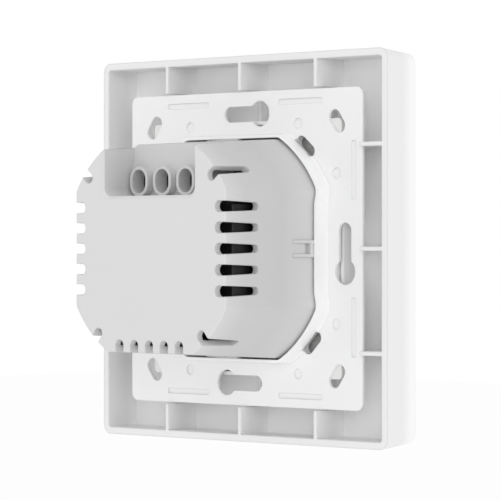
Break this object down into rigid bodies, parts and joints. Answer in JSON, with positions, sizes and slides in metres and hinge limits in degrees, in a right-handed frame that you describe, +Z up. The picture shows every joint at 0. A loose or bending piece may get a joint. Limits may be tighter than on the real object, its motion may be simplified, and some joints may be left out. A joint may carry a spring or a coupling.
{
  "type": "smart roller shutter switch",
  "caption": "Flush wall switch for a motor roller shutter: square cover frame, stacked push keys, steel mounting strap and a vented rear housing with screw terminals.",
  "frame": {"origin": "centre of the mounting strap's rear face, the face that lies on the wall box", "axes": "+Y into the wall box, square to the strap; keys face -Y; +Z up; +X to the right seen from the front"},
  "size_m": [0.086, 0.0405, 0.086],
  "materials": {
    "board_black": "solder mask",
    "board_green": "solder mask",
    "board_white": "solder mask",
    "bobbin_black": "moulded",
    "capacitor_box": "moulded box",
    "capacitor_sleeve": "shrunk sleeve",
    "connector_black": "moulded",
    "contact_copper": "tinned copper",
    "cover_white": "fine satin, moulded",
    "ferrite_grey": "sintered",
    "fuse_green": "ceramic body",
    "housing_grey": "fine matte, moulded",
    "key_white": "fine satin, moulded",
    "led_white": "lens",
    "light_guide_clear": "clear plastic",
    "pin_gold": "flash gold",
    "plunger_dark": "moulded",
    "relay_black": "moulded case",
    "shield_tin": "tinned can",
    "strap_white": "white coated sheet",
    "tact_black": "moulded",
    "terminal_dark": "moulded",
    "terminal_steel": "zinc plated",
    "tray_white": "satin, moulded",
    "varistor_blue": "dipped",
    "winding_tape": "yellow tape over the windings"
  },
  "bodies": {
    "switch_body": {"outer_frame": "cover_white", "mounting_strap": "strap_white", "rear_housing": "housing_grey", "front_tray": "tray_white", "key_carrier": "tray_white", "control_board": "board_white", "indicator_leds": "led_white", "radio_module": "board_green", "radio_shield": "shield_tin", "board_socket": "connector_black", "board_header": "connector_black", "header_pins": "pin_gold", "power_board": "board_black", "relay_up": "relay_black", "relay_down": "relay_black", "transformer_core": "ferrite_grey", "transformer_bobbin": "bobbin_black", "transformer_winding": "winding_tape", "input_capacitor": "capacitor_sleeve", "output_capacitor": "capacitor_sleeve", "filter_inductor": "ferrite_grey", "safety_capacitor": "capacitor_box", "bridge_rectifier": "relay_black", "varistor": "varistor_blue", "fuse_resistor": "fuse_green", "terminal_block": "terminal_dark", "terminal_contacts": "contact_copper", "tact_switch_up": "tact_black", "tact_switch_stop": "tact_black", "tact_switch_down": "tact_black"},
    "key_up": {"key_up": "key_white", "light_guide_up": "light_guide_clear"},
    "plunger_up": {"tact_plunger_up": "plunger_dark"},
    "key_stop": {"key_stop": "key_white", "light_guide_stop": "light_guide_clear"},
    "plunger_stop": {"tact_plunger_stop": "plunger_dark"},
    "key_down": {"key_down": "key_white", "light_guide_down": "light_guide_clear"},
    "plunger_down": {"tact_plunger_down": "plunger_dark"},
    "cage_1": {"terminal_cage_1": "terminal_steel"},
    "screw_1": {"terminal_screw_1": "terminal_steel"},
    "cage_2": {"terminal_cage_2": "terminal_steel"},
    "screw_2": {"terminal_screw_2": "terminal_steel"},
    "cage_3": {"terminal_cage_3": "terminal_steel"},
    "screw_3": {"terminal_screw_3": "terminal_steel"},
    "cage_4": {"terminal_cage_4": "terminal_steel"},
    "screw_4": {"terminal_screw_4": "terminal_steel"}
  },
  "joints": [
    {"name": "key_up_press", "type": "slide", "parent": "switch_body", "child": "key_up", "axis": [0, 1, 0], "range_m": [0, 0.00035], "stiffness_N_per_m": 1200, "springref_m": -0.001},
    {"name": "plunger_up_press", "type": "slide", "parent": "switch_body", "child": "plunger_up", "axis": [0, 1, 0], "range_m": [0, 0.00035]},
    {"name": "key_stop_press", "type": "slide", "parent": "switch_body", "child": "key_stop", "axis": [0, 1, 0], "range_m": [0, 0.00035], "stiffness_N_per_m": 1200, "springref_m": -0.001},
    {"name": "plunger_stop_press", "type": "slide", "parent": "switch_body", "child": "plunger_stop", "axis": [0, 1, 0], "range_m": [0, 0.00035]},
    {"name": "key_down_press", "type": "slide", "parent": "switch_body", "child": "key_down", "axis": [0, 1, 0], "range_m": [0, 0.00035], "stiffness_N_per_m": 1200, "springref_m": -0.001},
    {"name": "plunger_down_press", "type": "slide", "parent": "switch_body", "child": "plunger_down", "axis": [0, 1, 0], "range_m": [0, 0.00035]},
    {"name": "screw_1_turn", "type": "hinge", "parent": "switch_body", "child": "screw_1", "pos_m": [-0.01065, 0.0125, 0.0195], "axis": [0, 0, 1], "range_deg": [-1440, 0]},
    {"name": "cage_1_rise", "type": "slide", "parent": "switch_body", "child": "cage_1", "axis": [0, 0, 1], "range_m": [0, 0.002]},
    {"name": "screw_2_turn", "type": "hinge", "parent": "switch_body", "child": "screw_2", "pos_m": [-0.00355, 0.0125, 0.0195], "axis": [0, 0, 1], "range_deg": [-1440, 0]},
    {"name": "cage_2_rise", "type": "slide", "parent": "switch_body", "child": "cage_2", "axis": [0, 0, 1], "range_m": [0, 0.002]},
    {"name": "screw_3_turn", "type": "hinge", "parent": "switch_body", "child": "screw_3", "pos_m": [0.00355, 0.0125, 0.0195], "axis": [0, 0, 1], "range_deg": [-1440, 0]},
    {"name": "cage_3_rise", "type": "slide", "parent": "switch_body", "child": "cage_3", "axis": [0, 0, 1], "range_m": [0, 0.002]},
    {"name": "screw_4_turn", "type": "hinge", "parent": "switch_body", "child": "screw_4", "pos_m": [0.01065, 0.0125, 0.0195], "axis": [0, 0, 1], "range_deg": [-1440, 0]},
    {"name": "cage_4_rise", "type": "slide", "parent": "switch_body", "child": "cage_4", "axis": [0, 0, 1], "range_m": [0, 0.002]}
  ],
  "couplings": [
    {"joint": "plunger_up_press", "follows": "key_up_press", "ratio": 1},
    {"joint": "plunger_stop_press", "follows": "key_stop_press", "ratio": 1},
    {"joint": "plunger_down_press", "follows": "key_down_press", "ratio": 1},
    {"joint": "screw_1_turn", "follows": "cage_1_rise", "rad_per_m": -12566},
    {"joint": "screw_2_turn", "follows": "cage_2_rise", "rad_per_m": -12566},
    {"joint": "screw_3_turn", "follows": "cage_3_rise", "rad_per_m": -12566},
    {"joint": "screw_4_turn", "follows": "cage_4_rise", "rad_per_m": -12566}
  ]
}
